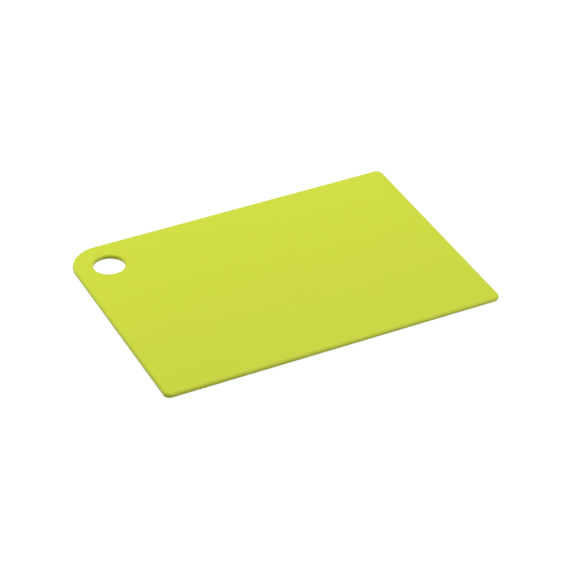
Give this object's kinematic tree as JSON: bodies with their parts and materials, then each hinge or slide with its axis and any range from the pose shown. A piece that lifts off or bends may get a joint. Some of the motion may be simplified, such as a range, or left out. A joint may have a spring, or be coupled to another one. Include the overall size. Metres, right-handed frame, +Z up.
{
  "type": "cutting board",
  "caption": "Thin flat one-piece plastic cutting board with rounded edges, one widely rounded corner and a round hanging hole in it.",
  "frame": {"origin": "on the underside, at the middle of the board's length and width", "axes": "+X along the length, away from the hanging hole; +Y across the width, towards the hanging hole; +Z up, out of the working face"},
  "size_m": [0.3, 0.212, 0.005],
  "materials": {
    "lime_plastic": "fine matte moulded surface, the same on both faces and round the edges"
  },
  "bodies": {
    "root": {"cutting_board": "lime_plastic"}
  },
  "joints": []
}
